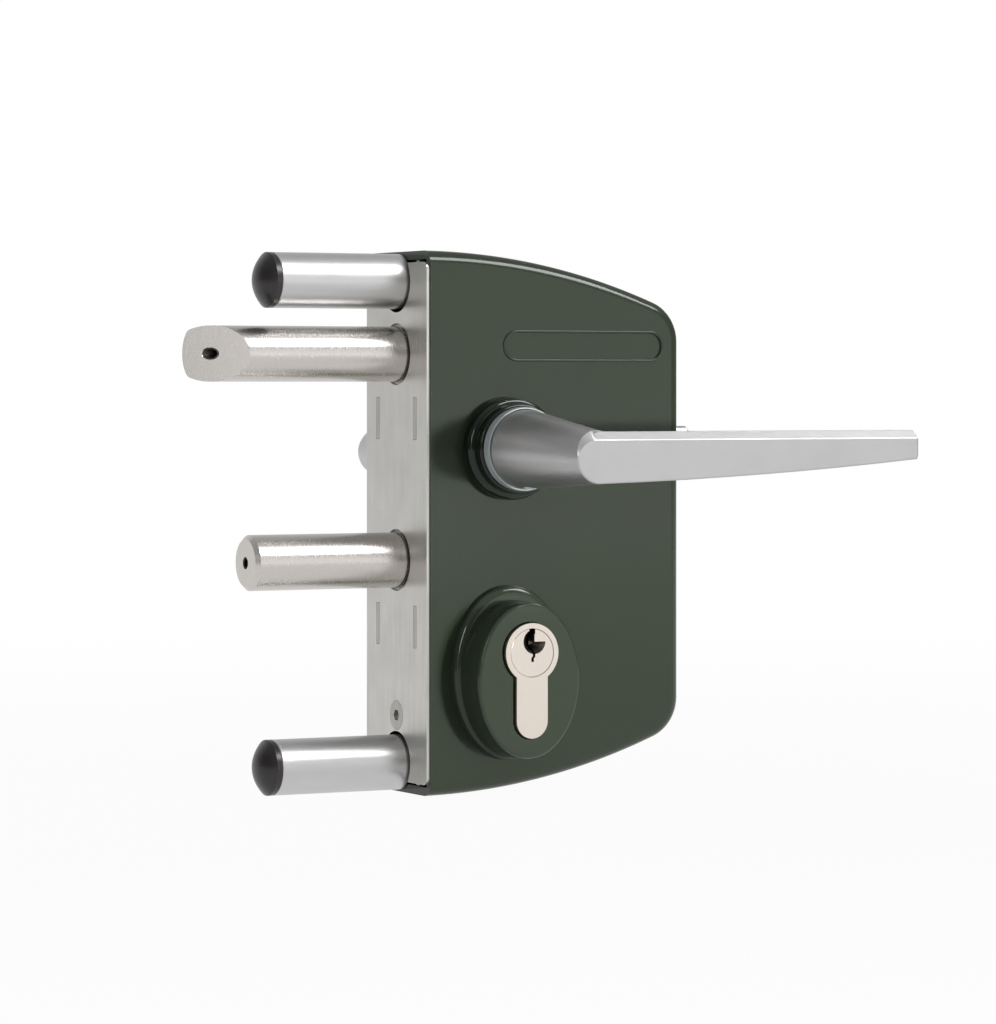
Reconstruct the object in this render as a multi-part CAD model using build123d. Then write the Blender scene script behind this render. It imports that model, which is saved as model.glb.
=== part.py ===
from build123d import *
import os
from math import asin, degrees, radians, tan

# Surface mounted gate lock. Millimetres.
# +X runs from the mounting face into the case, +Y to the back of the gate, +Z up.
# The origin is the middle of the mounting face, half way between the two fixings.

# Gate tube that the lock is bolted through
tube_depth = 40.0

# Case
case_reach = 84.0
case_thickness = 40.0
case_half_height = 78.3
case_arc_radius = 210.0
case_corner_radius = 12.5
case_edge_round = 4.0
cover_wall = 2.5
lip_depth = 2.0
post_radius = 4.0
outer_post_x = 46.0
outer_post_margin = 14.3
inner_post_x = 74.0
inner_post_margin = 44.3

# Backset, and the distances that set the levels of the five axes
backset = 26.0
fixing_margin = 8.6
latch_below_fixing = 21.1
cylinder_above_fixing = 32.8
dead_bolt_above_cylinder = 25.8
handle_above_middle = 2.55

# Case screws, countersunk from the back
case_screw_radius = 2.0
case_screw_head_radius = 3.9
case_screw_reach = 12.0
case_screw_hex_width = 2.5
case_screw_hex_depth = 1.5

# Blank field of the front cover
field_centre_x = 51.1
field_margin = 27.3
field_length = 53.4
field_height = 9.3
field_rim = 0.9
field_rise = 0.5
field_depth = 0.3

# Mounting plate and the two frame plates
plate_thickness = 1.0
plate_width = 39.0
plate_margin = 3.3
plate_corner_radius = 2.0
bolt_hole_radius = 9.0
frame_thickness = 2.0
frame_gap = 22.0
tab_length = 12.0
spacer_radius = 3.5
spacer_rivet_radius = 2.0
outer_spacer_x = 60.0
outer_spacer_margin = 17.8
inner_spacer_x = 66.0
inner_spacer_drop = 1.2

# Clearances
running_clearance = 0.05
thread_clearance = 0.05
slot_clearance = 0.1
loose_clearance = 0.3

# How far a cutting tool runs past the face that it opens
overrun = 1.0

# Both bolts
bolt_radius = 8.0
guide_length = 7.0
guide_width = 21.0
relief_start = 0.2
relief_length = 1.2
adjuster_radius = 4.0
adjuster_inner_end = 10.0
key_hole_radius = 1.75
hex_width = 3.0
hex_depth = 4.0
guide_pin_radius = 2.5

# Latch bolt
latch_reach = 64.5
latch_travel = 21.334
latch_bevel_angle = 42.0
latch_nose_flat = 3.0
latch_edge_round = 1.0
latch_adjuster_length = 42.0
latch_carriage_end = 32.0
latch_pin_x = 27.0
latch_relief_half_length = 6.6
latch_relief_drop = 4.4
latch_stub_radius = 3.0
latch_stub_length = 8.0
spring_radius = 5.2
spring_wire_radius = 0.7
spring_turns = 9
spring_seat_x = 74.0
spring_seat_thickness = 3.0
spring_seat_margin = 2.0
spring_peg_length = 10.0

# Dead bolt
dead_bolt_reach = 48.0
dead_bolt_throw = 20.0
dead_bolt_chamfer = 1.2
dead_bolt_adjuster_length = 36.0
dead_bolt_carriage_end = 50.0
dead_bolt_pin_x = 46.0
notch_half_width = 4.5
notch_wall = 2.6
notch_width = 10.0
notch_mouth = 10.5

# Fixings
sleeve_radius = 8.0
sleeve_bore_radius = 4.3
sleeve_counterbore_radius = 6.8
sleeve_counterbore_depth = 10.0
fixing_screw_radius = 4.0
fixing_screw_length = 45.0
fixing_head_radius = 6.5
fixing_head_height = 5.0
fixing_hex_width = 6.0
boss_length = 14.0
boss_height = 10.4
cap_height = 5.0
cap_rim_height = 1.5
cap_spigot_length = 3.0

# Handle
spindle_width = 8.0
journal_radius = 9.0
hub_radius = 10.0
arm_width = 8.0
arm_root_radius = 5.5
arm_nose_radius = 3.0
arm_neck_radius = 2.0
arm_neck_drop = 4.0
arm_play = 0.4
collar_radius = 14.8
collar_height = 8.0
collar_edge_round = 3.2
collar_spigot_radius = 10.8
shank_radius = 8.0
shank_end_gap = 1.0
neck_radius = 11.8
lever_front = 50.0
lever_tip_x = 135.0
lever_top = 5.3
lever_root_radius = 7.3
lever_root_offset = 2.9
lever_root_thickness = 12.0
lever_tip_thickness = 8.0
lever_tip_height = 8.4
lever_belly = 0.9
lever_bevel = 2.3
lever_bend_wall = 4.2
lever_bend_radius = 14.0
lever_blend_radius = 5.0
lever_back_round = 2.0
lever_front_round = 0.5
lever_end_chamfer = 1.0
neck_foot_round = 0.8
grub_screw_radius = 3.0
grub_screw_depth = 7.5
grub_screw_sink = 1.0
grub_hex_width = 3.0
grub_hex_depth = 2.0

# Cylinder and oval roses
cylinder_length = 70.0
barrel_radius = 8.5
profile_height = 33.0
stem_width = 10.0
plug_radius = 6.95
cam_width = 9.6
cam_hub_radius = 8.0
cam_bore_radius = 4.5
cam_reach = 15.3
cam_nose_half_width = 3.5
cam_nose_round = 2.0
cam_half_swing = 50.0
keyway_floor = -2.4
keyway_step = 3.8
keyway_upper_width = 2.2
keyway_upper_offset = -0.3
keyway_lower_width = 1.4
keyway_lower_offset = 0.5
keyway_end_wall = 1.0
keyway_recess_radius = 2.7
keyway_recess_level = 2.4
keyway_recess_depth = 1.2
pin_radius = 1.4
pin_pitch = 4.6
pin_count = 5
first_pin_depth = 6.5
key_pin_tip = 2.2
key_pin_step = 0.6
driver_pin_length = 5.0
chamber_plug_length = 1.6
cylinder_screw_radius = 2.5
cylinder_screw_drop = 19.2
cylinder_screw_head_radius = 4.2
circlip_width = 0.5
circlip_lip = 0.3
circlip_depth = 0.8
circlip_radius = 7.8
circlip_mouth = 5.0
rose_height = 13.0
rose_front_half_width = 16.4
rose_front_half_height = 22.4
rose_wall_taper = 0.5
rose_edge_round = 0.7
rose_base_half_width = 18.0
rose_base_half_height = 24.8
rose_base_lift = 0.8
rose_base_height = 2.6
rose_base_round = 1.4
rose_screw_radius = 1.5
rose_screw_head_radius = 2.8
rose_screw_head_height = 1.8
rose_screw_length = 10.0
rose_screw_offset = 20.3

# Worked out from the sizes above
half_case = case_thickness / 2
half_gap = frame_gap / 2
frame_outer = half_gap + frame_thickness
inner_wall = half_case - cover_wall
cover_start = plate_thickness
plate_height = 2 * (case_half_height - plate_margin)
tab_levels = [plate_height / 5, -plate_height / 5]
field_centre_z = case_half_height - field_margin
fixing_level = case_half_height - fixing_margin
latch_level = fixing_level - latch_below_fixing
cylinder_level = cylinder_above_fixing - fixing_level
dead_bolt_level = cylinder_level + dead_bolt_above_cylinder
handle_level = (latch_level + dead_bolt_level) / 2 + handle_above_middle
post_places = [
    (x, side * (case_half_height - margin))
    for x, margin in ((outer_post_x, outer_post_margin), (inner_post_x, inner_post_margin))
    for side in (1, -1)
]
outer_spacer_level = case_half_height - outer_spacer_margin
spacer_places = [
    (outer_spacer_x, outer_spacer_level),
    (inner_spacer_x, handle_level - inner_spacer_drop),
    (inner_spacer_x, dead_bolt_level - inner_spacer_drop),
    (outer_spacer_x, -outer_spacer_level),
]
follower_reach = latch_level - handle_level
handle_turn = degrees(2 * asin(latch_travel / (2 * follower_reach)))
slot_centre_x = backset - latch_travel / 2
notch_centre_x = backset + dead_bolt_throw / 2
rose_level = cylinder_level + barrel_radius - profile_height / 2
lever_depth = half_case + lever_front
neck_start = half_case + collar_height + loose_clearance
plug_end = cam_width / 2 + slot_clearance
cam_gap = 2 * (plug_end + circlip_lip + circlip_width)


def along_y(outline, start, end):
    """Extrude a front view outline from one depth to another."""
    return extrude(Plane.XZ.offset(-start) * outline, start - end)


def rod_x(radius, start, end, level):
    """A round bar along X in the middle of the case's thickness."""
    return Pos((start + end) / 2, 0, level) * Rot(0, 90, 0) * Cylinder(radius, end - start)


def rod_y(radius, start, end, x, z):
    """A round bar along Y."""
    return Pos(x, (start + end) / 2, z) * Rot(90, 0, 0) * Cylinder(radius, end - start)


def block(x_range, y_range, z_range):
    """A box between three pairs of limits."""
    sizes = [high - low for low, high in (x_range, y_range, z_range)]
    middle = [(low + high) / 2 for low, high in (x_range, y_range, z_range)]
    return Pos(*middle) * Box(*sizes)


def square_bar(width, start, end):
    """A square bar along Y on the handle's axis."""
    return block(
        (backset - width / 2, backset + width / 2),
        (start, end),
        (handle_level - width / 2, handle_level + width / 2),
    )


def hex_bar_x(width, start, end, level):
    """A hexagonal bar along X, for the sockets that a hex key turns."""
    hexagon = Plane.YZ.offset(start) * Pos(0, level) * RegularPolygon(width / 2, 6, major_radius=False)
    return extrude(hexagon, end - start)


def other_side(piece):
    """The same piece on the other face of the gate."""
    return mirror(piece, about=Plane.XZ)


def ellipse_at(half_width, half_height, y, lift=0):
    """Oval cross-section of the rose at one depth."""
    place = Plane(origin=(backset, y, rose_level + lift), x_dir=(1, 0, 0), z_dir=(0, -1, 0))
    return place * Ellipse(half_width, half_height)


def case_outline(inset, left):
    """Front view of the case: shallow arcs above and below and a rounded right side."""
    radius = case_arc_radius - inset
    centre = case_half_height - case_arc_radius
    width = case_reach - inset - left
    arcs = (Pos(0, centre) * Circle(radius)) & (Pos(0, -centre) * Circle(radius))
    outline = arcs & (Pos(left + width / 2, 0) * Rectangle(width, 2 * case_half_height))
    corners = outline.vertices().group_by(Axis.X)[-1]
    return fillet(corners, case_corner_radius - inset)


def profile_outline(grow):
    """Front view of the profile cylinder: a round barrel over a narrow stem with a round foot."""
    foot_radius = stem_width / 2
    foot_level = cylinder_level + barrel_radius - profile_height + foot_radius
    barrel = Pos(backset, cylinder_level) * Circle(barrel_radius + grow)
    foot = Pos(backset, foot_level) * Circle(foot_radius + grow)
    height = cylinder_level - foot_level
    stem = Pos(backset, foot_level + height / 2) * Rectangle(stem_width + 2 * grow, height)
    return barrel + foot + stem


def frame_plate():
    """Steel plate on the front of the works, with the bearing, the guide slots and two staked tabs."""
    plate = along_y(case_outline(cover_wall + loose_clearance, cover_start), -frame_outer, -half_gap)
    for level in tab_levels:
        tab_span = (level - tab_length / 2, level + tab_length / 2)
        plate += block((0, cover_start + overrun), (-frame_outer, -half_gap), tab_span)
    plate -= rod_y(journal_radius + running_clearance, -frame_outer, -half_gap, backset, handle_level)
    plate -= along_y(profile_outline(loose_clearance), -frame_outer, -half_gap)
    for x, z in post_places:
        plate -= rod_y(post_radius + loose_clearance, -frame_outer, -half_gap, x, z)
    for x, z in spacer_places:
        plate -= rod_y(spacer_rivet_radius, -frame_outer, -half_gap, x, z)
    slot_height = 2 * (guide_pin_radius + running_clearance)
    slots = [
        (latch_pin_x, latch_pin_x + latch_travel, latch_level),
        (dead_bolt_pin_x - dead_bolt_throw, dead_bolt_pin_x, dead_bolt_level),
    ]
    for start, end, level in slots:
        slot = SlotCenterToCenter(end - start + 2 * loose_clearance, slot_height)
        plate -= along_y(Pos((start + end) / 2, level) * slot, -frame_outer, -half_gap)
    return plate


def mounting_plate():
    """Bare steel plate against the gate tube, open round both bolts and both fixing sleeves."""
    half_width = plate_width / 2
    half_height = plate_height / 2
    plate = block((0, plate_thickness), (-half_width, half_width), (-half_height, half_height))
    edges = plate.edges().filter_by(Axis.X)
    plate = fillet(edges, plate_corner_radius)
    for level in (fixing_level, latch_level, dead_bolt_level, -fixing_level):
        plate -= rod_x(bolt_hole_radius, 0, plate_thickness, level)
    for level in tab_levels:
        half_length = tab_length / 2 + slot_clearance
        for side in (-1, 1):
            middle = side * (half_gap + frame_thickness / 2)
            half_slot = frame_thickness / 2 + slot_clearance
            plate -= block(
                (0, plate_thickness),
                (middle - half_slot, middle + half_slot),
                (level - half_length, level + half_length),
            )
    return plate - cylinder_screw_cone(slot_clearance)


def frame_spacers():
    """Shouldered pillars that hold the frame plates apart, riveted at both ends."""
    spacers = []
    for x, z in spacer_places:
        pillar = rod_y(spacer_radius, -half_gap, half_gap, x, z)
        pillar += rod_y(spacer_rivet_radius, -frame_outer, frame_outer, x, z)
        spacers.append(pillar)
    return Compound(children=spacers)


def cover_shell():
    """Front half shell of the case with its screw posts, before the openings are cut."""
    shell = along_y(case_outline(0, cover_start), -half_case, 0)
    front_edges = shell.edges().group_by(Axis.Y)[0].sort_by(Axis.X)
    shell = fillet(front_edges[1:], case_edge_round)
    shell -= along_y(case_outline(cover_wall, cover_start - overrun), -inner_wall, 0)
    for x, z in post_places:
        shell += rod_y(post_radius, -inner_wall, 0, x, z)
    return shell


def cut_fittings(shell):
    """Cut the openings for the handle's collar, the cylinder and the rose screws."""
    shell -= rod_y(collar_spigot_radius + slot_clearance, -half_case, -inner_wall, backset, handle_level)
    shell -= along_y(profile_outline(loose_clearance), -half_case, -inner_wall)
    for side in (-1, 1):
        z = rose_level + side * rose_screw_offset
        shell -= rod_y(rose_screw_radius + slot_clearance, -half_case, -inner_wall, backset, z)
    return shell


def front_cover():
    """Front half of the case, with the raised rim round the blank field and the tapped posts."""
    cover = cut_fittings(cover_shell())
    cover -= along_y(case_outline(cover_wall / 2, cover_start - overrun), -lip_depth - slot_clearance, 0)
    for x, z in post_places:
        cover += rod_y(post_radius, -lip_depth - overrun, 0, x, z)
        cover -= rod_y(case_screw_radius + thread_clearance, -case_screw_reach - overrun, 0, x, z)
    place = Pos(field_centre_x, field_centre_z)
    rim = place * SlotOverall(field_length, field_height)
    field = place * SlotOverall(field_length - 2 * field_rim, field_height - 2 * field_rim)
    cover += along_y(rim, -half_case - field_rise, -half_case)
    cover -= along_y(field, -half_case - field_rise, -half_case + field_depth)
    return cover


def rear_cover():
    """Rear half of the case, with the lip that enters the front half and the countersunk holes."""
    cover = other_side(cut_fittings(cover_shell()))
    lip = case_outline(cover_wall / 2 + slot_clearance, cover_start)
    lip -= case_outline(cover_wall, cover_start - overrun)
    cover += along_y(lip, -lip_depth, 0)
    for x, z in post_places:
        cover -= rod_y(case_screw_radius + slot_clearance, 0, half_case, x, z)
        cover -= screw_cone(slot_clearance, x, z)
    return cover


def screw_cone(grow, x, z):
    """Countersunk head of a case screw, widest at the outside of the rear cover."""
    head_height = case_screw_head_radius - case_screw_radius
    place = Pos(x, half_case - head_height / 2, z) * Rot(-90, 0, 0)
    return place * Cone(case_screw_radius + grow, case_screw_head_radius + grow, head_height)


def case_screws():
    """Four countersunk screws from the rear cover into the posts of the front cover."""
    screws = []
    for x, z in post_places:
        screw = rod_y(case_screw_radius, -case_screw_reach, half_case, x, z) + screw_cone(0, x, z)
        socket = Pos(x, z) * RegularPolygon(case_screw_hex_width / 2, 6, major_radius=False)
        screws.append(screw - along_y(socket, half_case - case_screw_hex_depth, half_case))
    return Compound(children=screws)


def guide_block(level):
    """Guide that holds one bolt behind the mounting plate, seated between the frame plates."""
    end = plate_thickness + guide_length
    body = block(
        (plate_thickness, end),
        (-half_gap, half_gap),
        (level - guide_width / 2, level + guide_width / 2),
    )
    return body - rod_x(bolt_radius + running_clearance, plate_thickness, end, level)


def fixing_boss(level):
    """Steel block with the M8 thread that draws the lock to the gate tube."""
    end = plate_thickness + boss_length
    body = block(
        (plate_thickness, end),
        (-half_gap, half_gap),
        (level - boss_height / 2, level + boss_height / 2),
    )
    return body - rod_x(fixing_screw_radius + thread_clearance, plate_thickness, end, level)


def fixing_sleeve(level):
    """Spacer sleeve through the gate tube, seated on the boss, with a pocket for the screw head."""
    sleeve = rod_x(sleeve_radius, -tube_depth, plate_thickness, level)
    sleeve -= rod_x(sleeve_bore_radius, -tube_depth, plate_thickness, level)
    pocket_end = sleeve_counterbore_depth - tube_depth
    return sleeve - rod_x(sleeve_counterbore_radius, -tube_depth, pocket_end, level)


def fixing_screw(level):
    """M8 socket head screw from the far side of the tube into the boss."""
    seat = sleeve_counterbore_depth - tube_depth
    screw = rod_x(fixing_screw_radius, seat, seat + fixing_screw_length, level)
    screw += rod_x(fixing_head_radius, seat - fixing_head_height, seat, level)
    head_end = seat - fixing_head_height
    return screw - hex_bar_x(fixing_hex_width, head_end, head_end + fixing_head_height / 2, level)


def fixing_cap(level):
    """Domed plastic cap whose spigot plugs the sleeve over the screw head."""
    dome = rod_x(sleeve_radius, -tube_depth - cap_height, -tube_depth, level)
    dome = fillet(dome.edges().group_by(Axis.X)[0], cap_height - cap_rim_height)
    spigot_radius = sleeve_counterbore_radius - slot_clearance
    return dome + rod_x(spigot_radius, -tube_depth, cap_spigot_length - tube_depth, level)


def bolt_head(reach, level):
    """Round bolt from its tip to the relief behind the mounting plate, hollow for its adjuster."""
    head = rod_x(bolt_radius, -reach, relief_start, level)
    return head - rod_x(key_hole_radius, -reach, relief_start, level)


def adjuster(length, level):
    """Threaded rod that sets how far the bolt head stands out, turned by a hex key from the tip."""
    end = plate_thickness + adjuster_inner_end
    screw = rod_x(adjuster_radius, end - length, end, level)
    return screw - hex_bar_x(hex_width, end - length, end - length + hex_depth, level)


def adjuster_bore(length, end, level):
    """The threaded bore that an adjuster runs in."""
    start = plate_thickness + adjuster_inner_end - length
    return rod_x(adjuster_radius + thread_clearance, start, end, level)


def latch_bolt():
    """Sprung bolt with one bevel towards the front, where the gate meets the keep."""
    edge = bolt_radius - latch_nose_flat
    drop = edge + bolt_radius + overrun
    wedge = make_face(Polyline(
        (-latch_reach, edge),
        (-latch_reach + drop / tan(radians(latch_bevel_angle)), edge - drop),
        (-latch_reach - overrun, edge - drop),
        (-latch_reach - overrun, edge),
        close=True,
    ))
    bolt = bolt_head(latch_reach, latch_level)
    bolt -= Pos(0, 0, latch_level - bolt_radius) * extrude(wedge, 2 * bolt_radius)
    tip = bolt.edges().filter_by(lambda e: e.bounding_box().max.X < -latch_reach + 0.01)
    bolt = fillet(tip.sort_by(SortBy.LENGTH)[-1], latch_edge_round)
    return bolt - adjuster_bore(latch_adjuster_length, relief_start, latch_level)


def latch_carriage():
    """Inner half of the latch bolt, milled from below for the follower's arm."""
    start = relief_start + relief_length
    carriage = rod_x(bolt_radius, start, latch_carriage_end, latch_level)
    stub_end = latch_carriage_end + latch_stub_length
    carriage += rod_x(latch_stub_radius, latch_carriage_end, stub_end, latch_level)
    half_slot = arm_nose_radius + arm_play
    half_width = arm_width / 2 + loose_clearance
    ceiling = latch_level + arm_nose_radius + 2 * loose_clearance
    carriage -= block(
        (slot_centre_x - half_slot, slot_centre_x + half_slot),
        (-half_width, half_width),
        (latch_level - bolt_radius, ceiling),
    )
    carriage -= block(
        (slot_centre_x - latch_relief_half_length, slot_centre_x + latch_relief_half_length),
        (-bolt_radius, bolt_radius),
        (latch_level - bolt_radius, latch_level - latch_relief_drop),
    )
    carriage -= rod_y(guide_pin_radius, -bolt_radius, bolt_radius, latch_pin_x, latch_level)
    bore_end = slot_centre_x - half_slot
    return carriage - adjuster_bore(latch_adjuster_length, bore_end, latch_level)


def guide_pin(x, level):
    """Cross pin that runs in the slots of both frame plates."""
    return rod_y(guide_pin_radius, -frame_outer, frame_outer, x, level)


def latch_spring():
    """Compression spring between the carriage and its seat."""
    length = spring_seat_x - latch_carriage_end - 2 * spring_wire_radius
    path = Helix(length / spring_turns, length, spring_radius)
    start = Plane(origin=path @ 0, z_dir=path % 0)
    coil = sweep(start * Circle(spring_wire_radius), path=path)
    return Pos(latch_carriage_end + spring_wire_radius, 0, latch_level) * Rot(0, 90, 0) * coil


def latch_spring_seat():
    """Cross piece between the frame plates that backs the spring, with a centring peg."""
    half_height = spring_radius + spring_seat_margin
    seat = block(
        (spring_seat_x, spring_seat_x + spring_seat_thickness),
        (-half_gap, half_gap),
        (latch_level - half_height, latch_level + half_height),
    )
    return seat + rod_x(latch_stub_radius, spring_seat_x - spring_peg_length, spring_seat_x, latch_level)


def dead_bolt():
    """Round dead bolt with a chamfered tip."""
    bolt = bolt_head(dead_bolt_reach, dead_bolt_level)
    tip = bolt.edges().group_by(Axis.X)[0].sort_by(SortBy.LENGTH)[-1]
    bolt = chamfer(tip, dead_bolt_chamfer)
    return bolt - adjuster_bore(dead_bolt_adjuster_length, relief_start, dead_bolt_level)


def dead_bolt_carriage():
    """Inner half of the dead bolt, with the notch that the cylinder's cam drives."""
    start = relief_start + relief_length
    carriage = rod_x(bolt_radius, start, dead_bolt_carriage_end, dead_bolt_level)
    half_lug = notch_half_width + notch_wall
    carriage += block(
        (notch_centre_x - half_lug, notch_centre_x + half_lug),
        (-notch_width / 2, notch_width / 2),
        (cylinder_level + notch_mouth, dead_bolt_level),
    )
    carriage -= block(
        (notch_centre_x - notch_half_width, notch_centre_x + notch_half_width),
        (-notch_width / 2, notch_width / 2),
        (cylinder_level + notch_mouth, cylinder_level + cam_reach + loose_clearance),
    )
    carriage -= rod_y(guide_pin_radius, -bolt_radius, bolt_radius, dead_bolt_pin_x, dead_bolt_level)
    bore_end = plate_thickness + adjuster_inner_end
    return carriage - adjuster_bore(dead_bolt_adjuster_length, bore_end, dead_bolt_level)


def follower():
    """Hub that the spindle turns, with the arm that draws the latch back."""
    lean = handle_turn / 2
    hub = rod_y(hub_radius, slot_clearance - half_gap, half_gap - slot_clearance, backset, handle_level)
    hub += rod_y(journal_radius, -frame_outer, frame_outer, backset, handle_level)
    neck = Pos(0, follower_reach - arm_neck_drop) * Circle(arm_neck_radius)
    arm = make_hull(ShapeList([Circle(arm_root_radius).edge(), neck.edge()]))
    arm += Pos(0, follower_reach - arm_neck_drop / 2) * Rectangle(2 * arm_neck_radius, arm_neck_drop)
    arm += Pos(0, follower_reach) * Circle(arm_nose_radius)
    place = Pos(backset, handle_level) * Rot(0, 0, lean)
    hub += along_y(place * arm, -arm_width / 2, arm_width / 2)
    return hub - square_bar(spindle_width + 2 * slot_clearance, -frame_outer, frame_outer)


def spindle():
    """Square spindle that joins both levers through the follower."""
    end = lever_depth - lever_root_thickness
    return square_bar(spindle_width, -end, end)


def handle_collar():
    """Domed ring that carries the lever's shank and reaches in to the frame plate."""
    collar = rod_y(collar_radius, -half_case - collar_height, -half_case, backset, handle_level)
    collar = fillet(collar.edges().group_by(Axis.Y)[0], collar_edge_round)
    collar += rod_y(collar_spigot_radius, -half_case, -frame_outer, backset, handle_level)
    bore = shank_radius + running_clearance
    return collar - rod_y(bore, -half_case - collar_height, -frame_outer, backset, handle_level)


def lever_bar():
    """The lever's flat bar and its bend, with the lower edge bellied and the back edges rounded."""
    root_x = backset + lever_root_offset
    top = handle_level + lever_top
    low_left = (root_x, top - 2 * lever_root_radius)
    low_right = (lever_tip_x, top - lever_tip_height)
    belly = ((low_left[0] + low_right[0]) / 2, (low_left[1] + low_right[1]) / 2 - lever_belly)
    outline = make_face(Wire([
        Line((root_x, top), (lever_tip_x, top)),
        Line((lever_tip_x, top), low_right),
        ThreePointArc(low_right, belly, low_left),
        Line(low_left, (root_x, top)),
    ]))
    outline += Pos(root_x, top - lever_root_radius) * Circle(lever_root_radius)
    left = root_x - lever_root_radius
    corner = (root_x + lever_bend_wall, -lever_depth + lever_root_thickness)
    bend_end = corner[1] + lever_bend_radius + overrun
    plan = make_face(Polyline((
        (left, -lever_depth),
        (lever_tip_x, -lever_depth),
        (lever_tip_x, -lever_depth + lever_tip_thickness),
        corner,
        (corner[0], bend_end),
        (root_x, bend_end),
        (left, corner[1]),
    ), close=True))
    plan = fillet(plan.vertices().sort_by_distance((*corner, 0))[0], lever_bend_radius)
    bar = along_y(outline, -lever_depth, 0) & extrude(plan, lever_depth, both=True)
    middle = -lever_depth + lever_tip_thickness / 2
    back = bar.edges().filter_by(lambda e: e.bounding_box().min.Y > middle)
    back = back.filter_by(lambda e: e.bounding_box().max.X > corner[0] + overrun)
    return fillet(back.filter_by(Axis.Z, reverse=True), lever_back_round)


def lever():
    """Front lever: a tapered round neck that flows into a flat bar with a bevelled upper edge."""
    root_x = backset + lever_root_offset
    top = handle_level + lever_top
    neck_foot = Plane(origin=(backset, -neck_start, handle_level), x_dir=(1, 0, 0), z_dir=(0, -1, 0))
    head_centre = (root_x, -lever_depth, top - lever_root_radius)
    neck_head = Plane(origin=head_centre, x_dir=(1, 0, 0), z_dir=(0, -1, 0))
    neck = loft([neck_foot * Circle(neck_radius), neck_head * Circle(lever_root_radius)])
    bar = lever_bar()
    piece = bar + neck
    seams = new_edges(bar, neck, combined=piece)
    piece = fillet(seams.filter_by(lambda e: e.length > lever_front_round), lever_blend_radius)
    bevel = Pos(0, -lever_depth, top - lever_bevel) * Rot(-45, 0, 0)
    depth = 4 * lever_bevel
    piece -= bevel * Pos(lever_tip_x / 2, -depth / 2, depth / 2) * Box(2 * lever_tip_x, depth, depth)
    tip_face = piece.faces().sort_by(Axis.X)[-1]
    piece = chamfer(tip_face.edges(), lever_end_chamfer)
    front = piece.faces().sort_by(Axis.Y)[0].edges()
    long_edges = front.filter_by(lambda e: e.length > 2 * lever_root_radius)
    piece = fillet(long_edges, lever_front_round)
    piece = fillet(piece.edges().group_by(Axis.Y)[-1], neck_foot_round)
    piece += rod_y(shank_radius, -neck_start, -frame_outer - shank_end_gap, backset, handle_level)
    bore_end = lever_depth - lever_root_thickness + slot_clearance
    piece -= square_bar(spindle_width + 2 * slot_clearance, -bore_end, 0)
    screw_bore = Pos(backset, -neck_start - grub_screw_depth, handle_level - neck_radius / 2)
    return piece - screw_bore * Cylinder(grub_screw_radius + thread_clearance, neck_radius)


def cylinder_body():
    """Double profile cylinder body, bridged below the cam, with the pin chambers."""
    half_length = cylinder_length / 2
    body = along_y(profile_outline(0), -half_length, half_length)
    body -= rod_y(plug_radius + running_clearance, -half_length, half_length, backset, cylinder_level)
    swing = cam_reach + loose_clearance
    body -= block(
        (backset - barrel_radius - overrun, backset + barrel_radius + overrun),
        (-cam_gap / 2, cam_gap / 2),
        (cylinder_level - swing, cylinder_level + barrel_radius + overrun),
    )
    foot = cylinder_level + barrel_radius - profile_height
    for y in pin_depths():
        for side in (-1, 1):
            chamber = Pos(backset, side * y, (foot + cylinder_level) / 2)
            body -= chamber * Cylinder(pin_radius + slot_clearance, cylinder_level - foot)
    screw_level = cylinder_level - cylinder_screw_drop
    screw_bore = cylinder_screw_radius + thread_clearance
    return body - rod_x(screw_bore, backset - stem_width, backset + stem_width, screw_level)


def pin_depths():
    """Distances of the pin rows from the middle of the cylinder."""
    first = cylinder_length / 2 - first_pin_depth
    return [first - number * pin_pitch for number in range(pin_count)]


def upright_pin(radius, y, bottom, top):
    """A round pin standing in a chamber of the front half."""
    return Pos(backset, -y, (bottom + top) / 2) * Cylinder(radius, top - bottom)


def key_pins():
    """Key pins inside the front plug, each ending at the shear line."""
    shear = cylinder_level - (plug_radius**2 - pin_radius**2) ** 0.5 + slot_clearance
    return Compound(children=[
        upright_pin(pin_radius, y, shear, cylinder_level - key_pin_tip - key_pin_step * (number % 3))
        for number, y in enumerate(pin_depths())
    ])


def driver_pins():
    """Driver pins of the front half, standing just below the shear line."""
    top = cylinder_level - plug_radius - slot_clearance
    return Compound(children=[
        upright_pin(pin_radius, y, top - driver_pin_length, top) for y in pin_depths()
    ])


def chamber_floor():
    """Level of the top of the chamber plugs."""
    return cylinder_level + barrel_radius - profile_height + 2 * chamber_plug_length


def pin_springs():
    """Springs of the front half, drawn as the sleeve that their coils fill."""
    top = cylinder_level - plug_radius - slot_clearance - driver_pin_length
    springs = []
    for y in pin_depths():
        spring = upright_pin(pin_radius - slot_clearance, y, chamber_floor(), top)
        spring -= upright_pin(pin_radius / 2, y, chamber_floor(), top)
        springs.append(spring)
    return Compound(children=springs)


def chamber_plugs():
    """Plugs that close the chambers of the front half from below."""
    floor = chamber_floor()
    return Compound(children=[
        upright_pin(pin_radius + thread_clearance, y, floor - chamber_plug_length, floor)
        for y in pin_depths()
    ])


def keyway():
    """Front view of a plain stepped keyway, open at the top of the plug."""
    upper_height = plug_radius + overrun - keyway_step
    lower_height = keyway_step - keyway_floor
    upper = Rectangle(keyway_upper_width, upper_height)
    lower = Rectangle(keyway_lower_width, lower_height)
    upper_place = Pos(keyway_upper_offset, keyway_step + upper_height / 2)
    lower_place = Pos(keyway_lower_offset, keyway_step - lower_height / 2)
    return Pos(backset, cylinder_level) * (upper_place * upper + lower_place * lower)


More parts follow.
